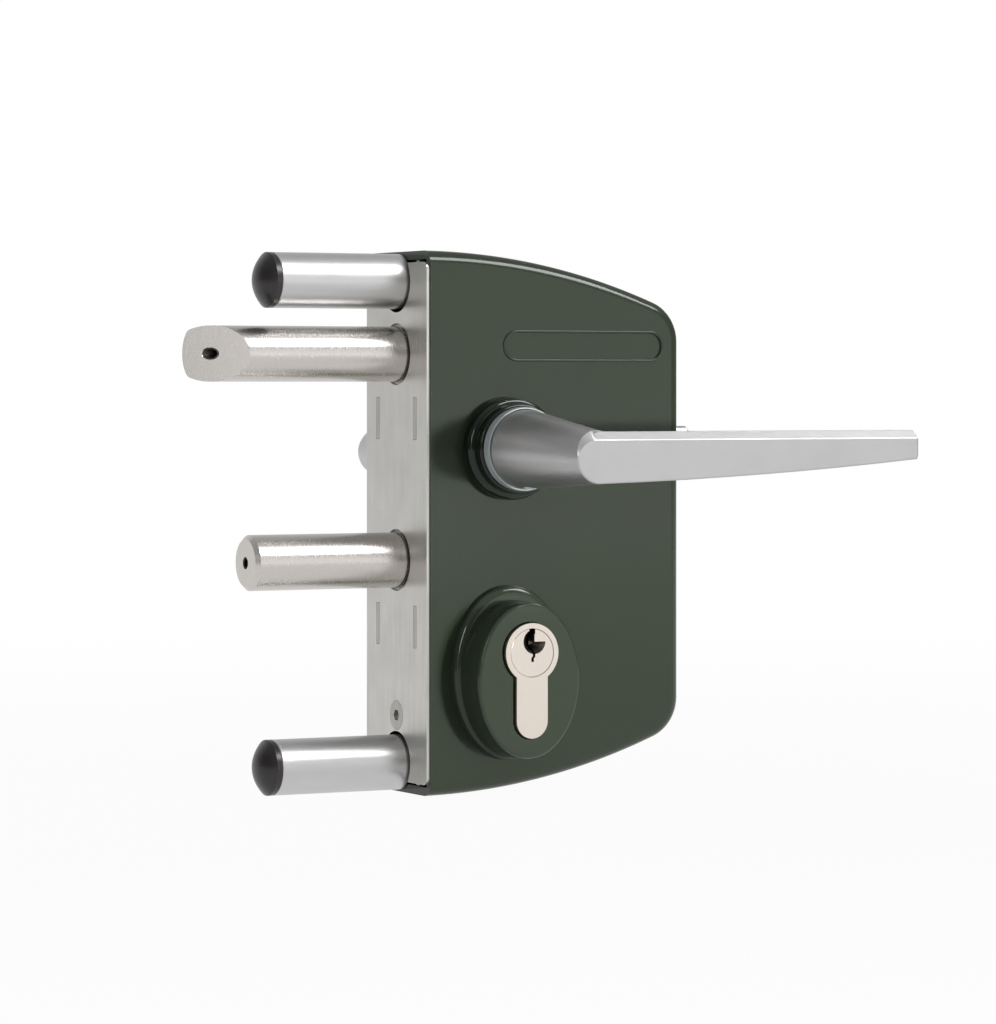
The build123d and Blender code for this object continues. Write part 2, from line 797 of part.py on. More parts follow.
def plug():
    """Front plug with its keyway, pin bores, circlip groove and the tail that carries the cam."""
    face = -cylinder_length / 2
    shoulder = -plug_end
    body = rod_y(plug_radius, face, shoulder, backset, cylinder_level)
    body -= circlip_groove()
    body -= along_y(keyway(), face, shoulder - keyway_end_wall)
    recess_level = cylinder_level + keyway_recess_level
    body -= rod_y(keyway_recess_radius, face, face + keyway_recess_depth, backset, recess_level)
    bottom = cylinder_level - plug_radius - overrun
    for y in pin_depths():
        body -= upright_pin(pin_radius + slot_clearance, y, bottom, cylinder_level)
    tail_radius = cam_bore_radius - running_clearance
    return body + rod_y(tail_radius, shoulder, -slot_clearance, backset, cylinder_level)


def circlip_groove():
    """Groove near the inner end of the front plug, down to the radius that the circlip grips."""
    start = -cam_gap / 2
    end = start + circlip_width
    groove = rod_y(plug_radius + overrun, start, end, backset, cylinder_level)
    return groove - rod_y(plug_radius - circlip_depth, start, end, backset, cylinder_level)


def circlip():
    """Open ring in the plug's groove, bearing on the cylinder body beside the cam."""
    start = -cam_gap / 2
    end = start + circlip_width
    ring = Circle(circlip_radius) - Circle(plug_radius - circlip_depth + thread_clearance)
    ring -= Pos(0, circlip_radius) * Rectangle(circlip_mouth, 2 * circlip_radius)
    return along_y(Pos(backset, cylinder_level) * ring, start, end)


def cam():
    """Ring on the plugs' tails with the finger that throws the dead bolt."""
    finger_length = cam_reach - cam_nose_round
    finger = Pos(0, finger_length / 2) * Rectangle(2 * cam_nose_half_width, finger_length)
    end = Pos(0, cam_reach - cam_nose_round) * Rectangle(2 * cam_nose_half_width, 2 * cam_nose_round)
    finger = finger + end
    finger = fillet(finger.vertices().group_by(Axis.Y)[-1], cam_nose_round)
    outline = Circle(cam_hub_radius) + finger
    outline -= Circle(cam_bore_radius)
    place = Pos(backset, cylinder_level) * Rot(0, 0, -cam_half_swing)
    return along_y(place * outline, -cam_width / 2, cam_width / 2)


def cylinder_screw_cone(grow):
    """Countersunk head of the cylinder's screw, flush with the mounting face."""
    height = cylinder_screw_head_radius - cylinder_screw_radius
    place = Pos(height / 2, 0, cylinder_level - cylinder_screw_drop) * Rot(0, 90, 0)
    return place * Cone(cylinder_screw_head_radius + grow, cylinder_screw_radius + grow, height)


def cylinder_screw():
    """Countersunk M5 screw through the mounting plate into the bridge of the cylinder."""
    level = cylinder_level - cylinder_screw_drop
    screw = rod_x(cylinder_screw_radius, 0, backset + stem_width / 2, level) + cylinder_screw_cone(0)
    return screw - hex_bar_x(hex_width, 0, cylinder_screw_radius / 2, level)


def oval_rose():
    """Oval rose round the front of the cylinder, on a wider base with a rounded shoulder."""
    front = ellipse_at(rose_front_half_width, rose_front_half_height, -half_case - rose_height)
    foot = ellipse_at(
        rose_front_half_width + rose_wall_taper, rose_front_half_height + rose_wall_taper, -half_case
    )
    rose = loft([foot, front])
    rose = fillet(rose.edges().group_by(Axis.Y)[0], rose_edge_round)
    flange = extrude(
        ellipse_at(rose_base_half_width, rose_base_half_height, -half_case, rose_base_lift),
        rose_base_height,
    )
    rose += fillet(flange.edges().group_by(Axis.Y)[0], rose_base_round)
    rose -= along_y(profile_outline(loose_clearance), -half_case - rose_height, -half_case)
    for side in (-1, 1):
        z = rose_level + side * rose_screw_offset
        tapped = rose_screw_radius + thread_clearance
        rose -= rod_y(tapped, -inner_wall - rose_screw_length, -half_case, backset, z)
    return rose


def rose_screws():
    """Two screws from inside the front cover into the rose."""
    screws = []
    for side in (-1, 1):
        z = rose_level + side * rose_screw_offset
        screw = rod_y(rose_screw_radius, -inner_wall - rose_screw_length, -inner_wall, backset, z)
        screw += rod_y(rose_screw_head_radius, -inner_wall, rose_screw_head_height - inner_wall, backset, z)
        screws.append(screw)
    return Compound(children=screws)


def grub_screw():
    """Socket grub screw from below the front lever's neck onto the spindle."""
    y = -neck_start - grub_screw_depth
    length = grub_screw_length()
    bottom = handle_level - spindle_width / 2 - length
    screw = Pos(backset, y, bottom + length / 2) * Cylinder(grub_screw_radius, length)
    socket = extrude(RegularPolygon(grub_hex_width / 2, 6, major_radius=False), grub_hex_depth)
    return screw - Pos(backset, y, bottom) * socket


def grub_screw_length():
    """From the spindle to just inside the neck's surface."""
    taper = (neck_radius - lever_root_radius) / (lever_depth - neck_start)
    return neck_radius - taper * grub_screw_depth - spindle_width / 2 - grub_screw_sink


pieces = {
    "mounting_plate": mounting_plate(),
    "front_frame_plate": frame_plate(),
    "rear_frame_plate": other_side(frame_plate()),
    "frame_spacers": frame_spacers(),
    "front_cover": front_cover(),
    "rear_cover": rear_cover(),
    "case_screws": case_screws(),
    "latch_guide_block": guide_block(latch_level),
    "dead_bolt_guide_block": guide_block(dead_bolt_level),
    "latch_bolt": latch_bolt(),
    "latch_adjuster": adjuster(latch_adjuster_length, latch_level),
    "latch_carriage": latch_carriage(),
    "latch_guide_pin": guide_pin(latch_pin_x, latch_level),
    "latch_spring": latch_spring(),
    "latch_spring_seat": latch_spring_seat(),
    "dead_bolt": dead_bolt(),
    "dead_bolt_adjuster": adjuster(dead_bolt_adjuster_length, dead_bolt_level),
    "dead_bolt_carriage": dead_bolt_carriage(),
    "dead_bolt_guide_pin": guide_pin(dead_bolt_pin_x, dead_bolt_level),
    "follower": follower(),
    "spindle": spindle(),
    "front_collar": handle_collar(),
    "rear_collar": other_side(handle_collar()),
    "front_lever": lever(),
    "rear_lever": other_side(lever()),
    "front_grub_screw": grub_screw(),
    "rear_grub_screw": other_side(grub_screw()),
    "cylinder_body": cylinder_body(),
    "cam": cam(),
    "cylinder_screw": cylinder_screw(),
    "front_plug": plug(),
    "rear_plug": other_side(plug()),
    "front_circlip": circlip(),
    "rear_circlip": other_side(circlip()),
    "front_rose": oval_rose(),
    "rear_rose": other_side(oval_rose()),
    "front_rose_screws": rose_screws(),
    "rear_rose_screws": other_side(rose_screws()),
}

for name, piece in (
    ("key_pins", key_pins()),
    ("driver_pins", driver_pins()),
    ("pin_springs", pin_springs()),
    ("chamber_plugs", chamber_plugs()),
):
    pieces["front_" + name] = piece
    pieces["rear_" + name] = other_side(piece)

for place, side in (("upper", 1), ("lower", -1)):
    pieces[place + "_fixing_boss"] = fixing_boss(side * fixing_level)
    pieces[place + "_fixing_sleeve"] = fixing_sleeve(side * fixing_level)
    pieces[place + "_fixing_screw"] = fixing_screw(side * fixing_level)
    pieces[place + "_cap"] = fixing_cap(side * fixing_level)

os.makedirs("parts", exist_ok=True)
for name, piece in pieces.items():
    piece.label = name
    export_step(piece, "parts/" + name + ".step")
    volume = sum(solid.volume for solid in piece.solids())
    print(name, "solids", len(piece.solids()), "volume", round(volume, 1), "valid", piece.is_valid)
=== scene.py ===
from math import acos, atan2, cos, pi, radians, sin, sqrt, tan

import bmesh
import bpy
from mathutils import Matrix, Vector
from mathutils.geometry import tessellate_polygon


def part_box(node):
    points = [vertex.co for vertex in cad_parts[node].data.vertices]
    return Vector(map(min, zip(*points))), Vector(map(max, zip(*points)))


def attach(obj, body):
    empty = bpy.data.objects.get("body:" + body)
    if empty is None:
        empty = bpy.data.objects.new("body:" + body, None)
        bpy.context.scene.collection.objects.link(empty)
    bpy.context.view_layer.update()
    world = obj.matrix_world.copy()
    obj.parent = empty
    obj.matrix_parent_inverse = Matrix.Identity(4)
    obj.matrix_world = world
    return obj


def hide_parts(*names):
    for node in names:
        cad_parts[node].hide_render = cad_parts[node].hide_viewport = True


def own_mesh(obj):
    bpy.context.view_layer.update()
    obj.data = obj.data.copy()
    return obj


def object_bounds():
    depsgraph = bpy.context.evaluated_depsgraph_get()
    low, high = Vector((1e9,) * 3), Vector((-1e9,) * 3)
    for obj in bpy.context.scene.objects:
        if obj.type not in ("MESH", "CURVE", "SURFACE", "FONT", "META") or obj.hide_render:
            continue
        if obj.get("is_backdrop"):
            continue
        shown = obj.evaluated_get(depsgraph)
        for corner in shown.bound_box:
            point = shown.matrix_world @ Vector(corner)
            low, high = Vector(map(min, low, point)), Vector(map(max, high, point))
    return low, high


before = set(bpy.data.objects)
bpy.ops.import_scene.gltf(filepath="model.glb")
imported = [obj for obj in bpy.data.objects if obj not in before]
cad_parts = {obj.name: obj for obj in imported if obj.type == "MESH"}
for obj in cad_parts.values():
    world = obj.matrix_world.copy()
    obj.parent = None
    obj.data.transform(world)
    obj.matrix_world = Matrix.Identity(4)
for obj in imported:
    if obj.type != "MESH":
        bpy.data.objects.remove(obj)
cad_low, cad_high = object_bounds()
mm = 0.001


# Mounting plate
# The lock bears on the gate tube with a bare stainless sheet, pierced and cut to its outline
# and left with its rolled grain. It shows as a thin bright line beside the tube.
even = (1.0, 1.0, 1.0)


def node_material(name):
    """A new material, its node tree and its surface shader."""
    material = bpy.data.materials.new(name)
    material.use_nodes = True
    tree = material.node_tree
    return material, tree, tree.nodes["Principled BSDF"]


def grain(tree, stretch, scale, detail=4.0):
    """Noise in the object's own coordinates, its scale stretched along each axis."""
    place = tree.nodes.new("ShaderNodeTexCoord")
    mapping = tree.nodes.new("ShaderNodeMapping")
    mapping.inputs["Scale"].default_value = stretch
    tree.links.new(place.outputs["Object"], mapping.inputs["Vector"])
    noise = tree.nodes.new("ShaderNodeTexNoise")
    noise.inputs["Scale"].default_value = scale
    noise.inputs["Detail"].default_value = detail
    tree.links.new(mapping.outputs["Vector"], noise.inputs["Vector"])
    return noise.outputs["Fac"]


def spread(tree, value, low, high):
    """The same noise, with its middle part spread between two values."""
    ramp = tree.nodes.new("ShaderNodeMapRange")
    ramp.inputs["From Min"].default_value = 0.3
    ramp.inputs["From Max"].default_value = 0.7
    ramp.inputs["To Min"].default_value = low
    ramp.inputs["To Max"].default_value = high
    tree.links.new(value, ramp.inputs["Value"])
    return ramp.outputs["Result"]


def tint(tree, value, first, second):
    """Colour between two colours, by a value from 0 to 1."""
    mix = tree.nodes.new("ShaderNodeMix")
    mix.data_type = "RGBA"
    mix.inputs["A"].default_value = (*first, 1.0)
    mix.inputs["B"].default_value = (*second, 1.0)
    tree.links.new(value, mix.inputs["Factor"])
    return mix.outputs["Result"]


def edge_mask(tree, radius, strength):
    """Value that rises to strength along outer edges, from how far a rounded normal leans away."""
    bevel = tree.nodes.new("ShaderNodeBevel")
    bevel.samples = 4
    bevel.inputs["Radius"].default_value = radius
    surface = tree.nodes.new("ShaderNodeNewGeometry")
    dot = tree.nodes.new("ShaderNodeVectorMath")
    dot.operation = "DOT_PRODUCT"
    tree.links.new(bevel.outputs["Normal"], dot.inputs[0])
    tree.links.new(surface.outputs["Normal"], dot.inputs[1])
    mask = tree.nodes.new("ShaderNodeMapRange")
    mask.inputs["From Min"].default_value = 0.995
    mask.inputs["From Max"].default_value = 0.9
    mask.inputs["To Max"].default_value = strength
    tree.links.new(dot.outputs["Value"], mask.inputs["Value"])
    return mask.outputs["Result"]


def rub_edges(tree, shader, shade, bright, radius, strength):
    """Base colour that turns to a brighter one where handling has rubbed the edges."""
    rubbed = tree.nodes.new("ShaderNodeMix")
    rubbed.data_type = "RGBA"
    rubbed.inputs["B"].default_value = (*bright, 1.0)
    tree.links.new(edge_mask(tree, radius, strength), rubbed.inputs["Factor"])
    tree.links.new(shade, rubbed.inputs["A"])
    tree.links.new(rubbed.outputs["Result"], shader.inputs["Base Color"])


def bump(tree, shader, height, distance):
    """Relief of a given depth in metres on the shader."""
    node = tree.nodes.new("ShaderNodeBump")
    node.inputs["Distance"].default_value = distance
    tree.links.new(height, node.inputs["Height"])
    tree.links.new(node.outputs["Normal"], shader.inputs["Normal"])


def metal_material(name, colour, roughness, stretch, relief, worn, variation=0.1, metallic=1.0):
    """Bare or plated metal with fine machining marks along one direction and rubbed edges."""
    mark_scale = 900.0
    mark_detail = 6.0
    cloud_scale = 90.0
    edge_polish = 1.12
    edge_width = 0.3 * mm
    material, tree, shader = node_material(name)
    dull = tuple((1 - variation) * part for part in colour)
    bright = tuple(min(1.0, edge_polish * part) for part in colour)
    marks = grain(tree, stretch, mark_scale, mark_detail)
    clouds = spread(tree, grain(tree, even, cloud_scale), 0.0, 1.0)
    rub_edges(tree, shader, tint(tree, clouds, dull, colour), bright, edge_width, worn)
    tree.links.new(
        spread(tree, marks, (1 - 2 * variation) * roughness, (1 + 2 * variation) * roughness),
        shader.inputs["Roughness"],
    )
    shader.inputs["Metallic"].default_value = metallic
    bump(tree, shader, marks, relief)
    return material


def finish_node(node, material):
    """Give a carried-over CAD node its material."""
    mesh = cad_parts[node].data
    mesh.materials.clear()
    mesh.materials.append(material)


sheet_steel = metal_material("sheet_steel", (0.62, 0.61, 0.58), 0.34, (1.0, 1.0, 0.05), 0.003 * mm, 0.4)
finish_node("mounting_plate", sheet_steel)


# Works between the frame plates
# Two stamped plates, riveted on pillars, carry the guides, the follower and the spring seat.
# All of it is zinc plated steel, with a slight yellow cast and shallow rolling marks.
zinc_steel = metal_material("zinc_steel", (0.5, 0.49, 0.46), 0.42, (1.0, 1.0, 0.1), 0.003 * mm, 0.3)
for node in (
    "front_frame_plate", "rear_frame_plate", "frame_spacers", "latch_spring_seat", "follower",
    "spindle", "upper_fixing_boss", "lower_fixing_boss", "latch_carriage", "dead_bolt_carriage",
    "latch_guide_pin", "dead_bolt_guide_pin", "latch_adjuster", "dead_bolt_adjuster", "cam",
    "front_circlip", "rear_circlip", "case_screws", "cylinder_screw", "front_rose_screws",
    "rear_rose_screws", "front_grub_screw", "rear_grub_screw", "upper_fixing_screw",
    "lower_fixing_screw", "front_pin_springs", "rear_pin_springs",
):
    finish_node(node, zinc_steel)


# Guide blocks
# Two moulded blocks of acetal sit between the frame plates and hold the round bolts just
# behind the mounting plate, with the fine matt texture of their mould.
def plastic_material(name, colour, roughness):
    """Moulded plastic with a fine spark texture, slightly polished where it is touched."""
    texture_scale = 2500.0
    texture_depth = 0.01 * mm
    cloud_scale = 60.0
    edge_width = 0.3 * mm
    worn = 0.5
    material, tree, shader = node_material(name)
    texture = grain(tree, even, texture_scale)
    clouds = spread(tree, grain(tree, even, cloud_scale), 0.0, 1.0)
    lighter = tuple(1.25 * part for part in colour)
    rub_edges(tree, shader, tint(tree, clouds, colour, lighter), lighter, edge_width, worn)
    skin_roughness = spread(tree, texture, 0.85 * roughness, 1.2 * roughness)
    tree.links.new(skin_roughness, shader.inputs["Roughness"])
    bump(tree, shader, texture, texture_depth)
    return material


guide_plastic = plastic_material("guide_plastic", (0.62, 0.62, 0.6), 0.45)
for node in ("latch_guide_block", "dead_bolt_guide_block"):
    finish_node(node, guide_plastic)


# Case covers
# Two die cast half shells, powder coated moss green, meet in the middle of the thickness with
# a lip. Screws from the back enter posts cast inside; the front bears a rim round a blank field.
def paint_material(name, colour, roughness):
    """Powder coat: nearly even colour under a glossy skin with a faint orange peel."""
    peel_scale = 450.0
    peel_detail = 2.0
    peel_depth = 0.008 * mm
    cloud_scale = 25.0
    edge_width = 0.4 * mm
    worn = 0.35
    material, tree, shader = node_material(name)
    peel = grain(tree, even, peel_scale, peel_detail)
    clouds = spread(tree, grain(tree, even, cloud_scale), 0.0, 1.0)
    darker = tuple(0.94 * part for part in colour)
    rubbed = tuple(1.8 * part for part in colour)
    rub_edges(tree, shader, tint(tree, clouds, darker, colour), rubbed, edge_width, worn)
    skin_roughness = spread(tree, peel, 0.85 * roughness, 1.2 * roughness)
    tree.links.new(skin_roughness, shader.inputs["Roughness"])
    bump(tree, shader, peel, peel_depth)
    shader.inputs["IOR"].default_value = 1.4
    return material


class Skin:
    """Vertices and faces of one piece, gathered in millimetres."""

    def __init__(self):
        self.points = []
        self.faces = []

    def loop(self, points):
        """Add a row of points and return their numbers."""
        start = len(self.points)
        self.points.extend(points)
        return list(range(start, len(self.points)))

    def band(self, first, second, closed=True):
        """Quads between two rows of as many points."""
        count = len(first)
        for here in range(count if closed else count - 1):
            after = (here + 1) % count
            self.faces.append((first[here], first[after], second[after], second[here]))

    def bands(self, rows, closed=True):
        """Quads between each row and the next."""
        for first, second in zip(rows, rows[1:]):
            self.band(first, second, closed)

    def flat(self, *rows):
        """Fill the first row, leaving the others open as holes."""
        numbers = [number for row in rows for number in row]
        outlines = [[Vector(self.points[number]) for number in row] for row in rows]
        for corners in tessellate_polygon(outlines):
            self.faces.append(tuple(numbers[corner] for corner in corners))

    def mesh(self, name):
        """Make the mesh, its doubled points joined and its normals turned outwards."""
        mesh = bpy.data.meshes.new(name)
        work = bmesh.new()
        corners = [work.verts.new(Vector(point) * mm) for point in self.points]
        for face in self.faces:
            work.faces.new([corners[number] for number in face])
        bmesh.ops.remove_doubles(work, verts=work.verts, dist=0.0005 * mm)
        bmesh.ops.dissolve_degenerate(work, edges=work.edges, dist=0.0005 * mm)
        bmesh.ops.recalc_face_normals(work, faces=work.faces)
        work.to_mesh(mesh)
        work.free()
        return mesh

    def piece(self, name, material, body, slot, *nodes):
        """Make the object in place of the CAD nodes."""
        return finished(self.mesh(name), name, material, body, slot, *nodes)


def finished(mesh, name, material, body, slot, *nodes, crease=32):
    """An object of this mesh, smooth but for its sharp edges, in place of the CAD nodes."""
    mesh.polygons.foreach_set("use_smooth", [True] * len(mesh.polygons))
    mesh.set_sharp_from_angle(angle=radians(crease))
    if material not in list(mesh.materials):
        mesh.materials.append(material)
    made = bpy.data.objects.new(name, mesh)
    bpy.context.scene.collection.objects.link(made)
    weigh = made.modifiers.new("weighted normals", "WEIGHTED_NORMAL")
    weigh.keep_sharp = True
    if nodes:
        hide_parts(*nodes)
    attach(made, body)
    return made


def box_mm(node):
    """Lowest and highest corner of a CAD node, in millimetres."""
    low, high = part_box(node)
    return Vector(low) / mm, Vector(high) / mm


def ring(centre, radius, y, count=64):
    """Circle of points square to the case's face."""
    angles = [2 * pi * step / count for step in range(count)]
    return [(centre[0] + radius * cos(angle), y, centre[1] + radius * sin(angle)) for angle in angles]


case_low, case_high = box_mm("rear_cover")
case_start = case_low.x
case_reach = case_high.x
half_height = case_high.z
half_case = case_high.y
arc_radius = 210.0
corner_radius = 12.5
edge_round = 4.0
wall = 2.5
lip_depth = 2.0
lip_play = 0.1
seam_round = 0.2
backset = 26.0
collar_low, collar_high = box_mm("front_collar")
handle_axis = (backset, (collar_low.z + collar_high.z) / 2)


def case_row(inset, y):
    """Outline of the case from its upper left end to its lower one, a distance inside its edge."""
    arc_steps = 40
    corner_steps = 14
    arc_centre = half_height - arc_radius
    corner_x = case_reach - corner_radius
    corner_z = arc_centre + sqrt((arc_radius - corner_radius) ** 2 - corner_x**2)
    meeting = atan2(corner_z - arc_centre, corner_x)
    radius = arc_radius - inset
    start = acos(case_start / radius)
    upper = []
    for step in range(arc_steps + 1):
        angle = start + (meeting - start) * step / arc_steps
        upper.append((radius * cos(angle), arc_centre + radius * sin(angle)))
    radius = corner_radius - inset
    for step in range(1, corner_steps + 1):
        angle = meeting * (1 - step / corner_steps)
        upper.append((corner_x + radius * cos(angle), corner_z + radius * sin(angle)))
    lower = [(x, -z) for x, z in reversed(upper)]
    return [(x, y, z) for x, z in upper + lower]


plug_low, plug_high = box_mm("front_plug")
cylinder_axis = (backset, (plug_low.z + plug_high.z) / 2)
barrel_radius = 8.5
stem_radius = 5.0
profile_height = 33.0


def profile_row(grow, y):
    """Outline of the profile cylinder, a distance outside its edge."""
    barrel_steps = 64
    stem_steps = 32
    barrel = barrel_radius + grow
    stem = stem_radius + grow
    axis_x, axis_z = cylinder_axis
    foot_z = axis_z + barrel_radius - profile_height + stem_radius
    join = atan2(-sqrt(barrel**2 - stem**2), stem)
    row = []
    for step in range(barrel_steps + 1):
        angle = join + (pi - 2 * join) * step / barrel_steps
        row.append((axis_x + barrel * cos(angle), y, axis_z + barrel * sin(angle)))
    for step in range(stem_steps + 1):
        angle = pi + pi * step / stem_steps
        row.append((axis_x + stem * cos(angle), y, foot_z + stem * sin(angle)))
    return row


field_centre_x = 51.1
field_level = half_height - 27.3
field_length = 53.4
field_height = 9.3


def field_row(inset, y):
    """Outline of the blank field, a distance inside the foot of its rim."""
    end_steps = 24
    radius = field_height / 2 - inset
    half_straight = (field_length - field_height) / 2
    row = []
    for end, start in ((half_straight, -pi / 2), (-half_straight, pi / 2)):
        for step in range(end_steps + 1):
            angle = start + pi * step / end_steps
            row.append((
                field_centre_x + end + radius * cos(angle), y, field_level + radius * sin(angle)
            ))
    return row


def opening(skin, outer, inner):
    """Wall of a hole between its row in the outer face and its row in the inner one."""
    outer_row = skin.loop(outer)
    inner_row = skin.loop(inner)
    skin.band(outer_row, inner_row)
    return outer_row, inner_row


spigot_opening = 10.9
profile_play = 0.3
rose_level = cylinder_axis[1] + barrel_radius - profile_height / 2
rose_screw_offset = 20.3
rose_screw_opening = 1.6
rose_screw_places = [
    (backset, rose_level + offset) for offset in (rose_screw_offset, -rose_screw_offset)
]
post_radius = 4.0
thread_radius = 2.05
thread_end = 13.0
screw_opening = 2.1
sink_rim = 1.9
outer_post = (46.0, half_height - 14.3)
inner_post = (74.0, half_height - 44.3)
post_places = [(x, z) for x, top in (outer_post, inner_post) for z in (top, -top)]
rim_width = 0.9
rim_rise = 0.5
field_wall = 0.05
field_depth = 0.3


def cover(side):
    """One half shell, with side -1 for the front and 1 for the back."""
    edge_steps = 10
    bead_steps = 12
    skin = Skin()
    inner_face = half_case - wall
    if side < 0:
        lip_end = lip_depth + lip_play
        path = [(wall, inner_face), (wall, lip_end), (wall / 2, lip_end), (wall / 2, 0.0)]
    else:
        lip = wall / 2 + lip_play
        path = [(wall, inner_face), (wall, -lip_depth), (lip, -lip_depth), (lip, 0.0)]
    path += [(seam_round, 0.0), (0.0, seam_round)]
    for step in range(edge_steps + 1):
        angle = pi / 2 * step / edge_steps
        path.append((edge_round * (1 - cos(angle)), half_case - edge_round * (1 - sin(angle))))
    rows = [skin.loop(case_row(inset, side * depth)) for inset, depth in path]
    skin.bands(rows, closed=False)
    skin.flat([row[0] for row in rows] + [row[-1] for row in reversed(rows)])
    outer_holes = []
    inner_holes = []
    outlines = [lambda y: ring(handle_axis, spigot_opening, y), lambda y: profile_row(profile_play, y)]
    outlines += [
        lambda y, place=place: ring(place, rose_screw_opening, y, 24) for place in rose_screw_places
    ]
    for outline in outlines:
        outer, inner = opening(skin, outline(side * half_case), outline(side * inner_face))
        outer_holes.append(outer)
        inner_holes.append(inner)
    for place in post_places:
        foot = skin.loop(ring(place, post_radius, side * inner_face, 32))
        inner_holes.append(foot)
        steps = [(post_radius, 0.0)]
        if side < 0:
            steps += [(thread_radius, 0.0), (thread_radius, thread_end)]
        else:
            steps += [(screw_opening, 0.0), (screw_opening, half_case - sink_rim)]
            steps.append((post_radius, half_case))
        post_rows = [foot]
        for radius, depth in steps:
            post_rows.append(skin.loop(ring(place, radius, side * depth, 32)))
        skin.bands(post_rows)
        if side < 0:
            skin.flat(post_rows[-1])
        else:
            outer_holes.append(post_rows[-1])
    if side < 0:
        bead = []
        for step in range(bead_steps + 1):
            angle = pi * step / bead_steps
            inset = rim_width / 2 * (1 - cos(angle))
            bead.append(skin.loop(field_row(inset, -half_case - rim_rise * sin(angle))))
        bead.append(skin.loop(field_row(rim_width + field_wall, -half_case + field_depth)))
        skin.bands(bead)
        skin.flat(bead[-1])
        outer_holes.append(bead[0])
    skin.flat(rows[-1], *outer_holes)
    skin.flat(rows[0], *inner_holes)
    return skin


moss_paint = paint_material("moss_paint", (0.039, 0.053, 0.031), 0.15)
cover(-1).piece("front_cover_shell", moss_paint, "case", "case_paint", "front_cover")
cover(1).piece("rear_cover_shell", moss_paint, "case", "case_paint", "rear_cover")


# Handle collars
# A turned and painted ring on each cover carries the lever's shank. Its spigot reaches through
# the cover to the frame plate. A pale nylon washer keeps the lever's foot off the paint, and a
# nylon band is pressed over the foot itself.
def turned(skin, path, axis, side, count=96):
    """Rows of a piece turned about an axis square to the case's face."""
    return [skin.loop(ring(axis, radius, side * depth, count)) for depth, radius in path]


def rounded(depth, radius, size):
    """Quarter round of a turned profile, from its front face out and back to its side."""
    steps = 8
    angles = [pi / 2 * (1 - step / steps) for step in range(steps + 1)]
    return [(depth - size + size * sin(angle), radius - size + size * cos(angle)) for angle in angles]


# The collars' paint, with a base only about a quarter as bright as the roses' same paint: painted shade
# that darkens the ring's side.
shaded_collar_paint = paint_material("shaded_collar_paint", (0.012, 0.021, 0.012), 0.09)
nylon = plastic_material("nylon", (0.52, 0.56, 0.57), 0.4)
collar_front = -collar_low.y
collar_radius = (collar_high.x - collar_low.x) / 2
shoulder_depth = half_case + 4.6
shoulder_round = 1.8
lip_radius = collar_radius - shoulder_round
lip_round = 0.8
bore = 8.05
bore_chamfer = 0.3
foot_height = 0.8
foot_inset = 0.5
spigot_radius = 10.8
works_face = 13.0
washer_start = collar_front + 0.02
washer_end = collar_front + 0.28
washer_radius = 12.0
foot_ring_start = collar_front + 0.4
foot_ring_profile = [
    (0.0, 11.9), (0.0, 12.1), (2.2, 12.1), (2.6, 11.9), (2.7, 11.6), (2.6, 11.56), (0.0, 11.9),
]
for side, name in ((-1, "front"), (1, "rear")):
    path = [(works_face, bore), (collar_front - bore_chamfer, bore), (collar_front, bore + bore_chamfer)]
    path += rounded(collar_front, lip_radius, lip_round)
    path += rounded(shoulder_depth, collar_radius, shoulder_round)
    path += [(half_case + foot_height, collar_radius), (half_case, collar_radius - foot_inset)]
    path += [(half_case, spigot_radius), (works_face, spigot_radius), (works_face, bore)]
    skin = Skin()
    skin.bands(turned(skin, path, handle_axis, side))
    skin.piece(name + "_collar_ring", shaded_collar_paint, "case", "dark_paint", name + "_collar")
    washer = [
        (washer_start, bore), (washer_end, bore), (washer_end, washer_radius),
        (washer_start, washer_radius), (washer_start, bore),
    ]
    skin = Skin()
    skin.bands(turned(skin, washer, handle_axis, side))
    skin.piece(name + "_collar_washer", nylon, "case", "guide_plastic")
    foot_ring = [(foot_ring_start + depth, radius) for depth, radius in foot_ring_profile]
    skin = Skin()
    skin.bands(turned(skin, foot_ring, handle_axis, side))
    skin.piece(name + "_foot_ring", nylon, "handle", "guide_plastic")


# Levers
# Cast aluminium, ground and satin anodised: a round neck on the collar flows into a flat bar
# that thins towards its tip. A bevel runs along its top and round the upper left end of the
# flat. A grub screw grips the spindle.
anodised = metal_material(
    "anodised", (0.55, 0.543, 0.55), 0.4, (0.4, 1.0, 1.0), 0.0002 * mm, 0.3, 0.05, 0.88
)
lever_front = -box_mm("front_lever")[0].y
root_offset = 2.9
root_radius = 7.3
lever_top = 5.3
lever_bevel = 2.3
flat_radius = 6.15
flat_centre_x = backset + root_offset - root_radius + flat_radius
flat_level = handle_axis[1] + lever_top - lever_bevel - flat_radius


def cut(whole, cutters, material, inside):
    """Mesh of an object with solids cut away; the object and the solids are removed again."""
    bpy.context.scene.collection.objects.link(whole)
    whole.data.materials.clear()
    whole.data.materials.append(material)
    helpers = [whole]
    for skin in cutters:
        tool = bpy.data.objects.new("cutter", skin.mesh("cutter"))
        tool.data.materials.append(inside)
        bpy.context.scene.collection.objects.link(tool)
        helpers.append(tool)
        less = whole.modifiers.new("cut", "BOOLEAN")
        less.operation = "DIFFERENCE"
        less.solver = "EXACT"
        less.material_mode = "TRANSFER"
        less.object = tool
    bpy.context.view_layer.update()
    evaluated = whole.evaluated_get(bpy.context.evaluated_depsgraph_get())
    result = bpy.data.meshes.new_from_object(evaluated)
    for helper in helpers:
        bpy.data.objects.remove(helper)
    return result


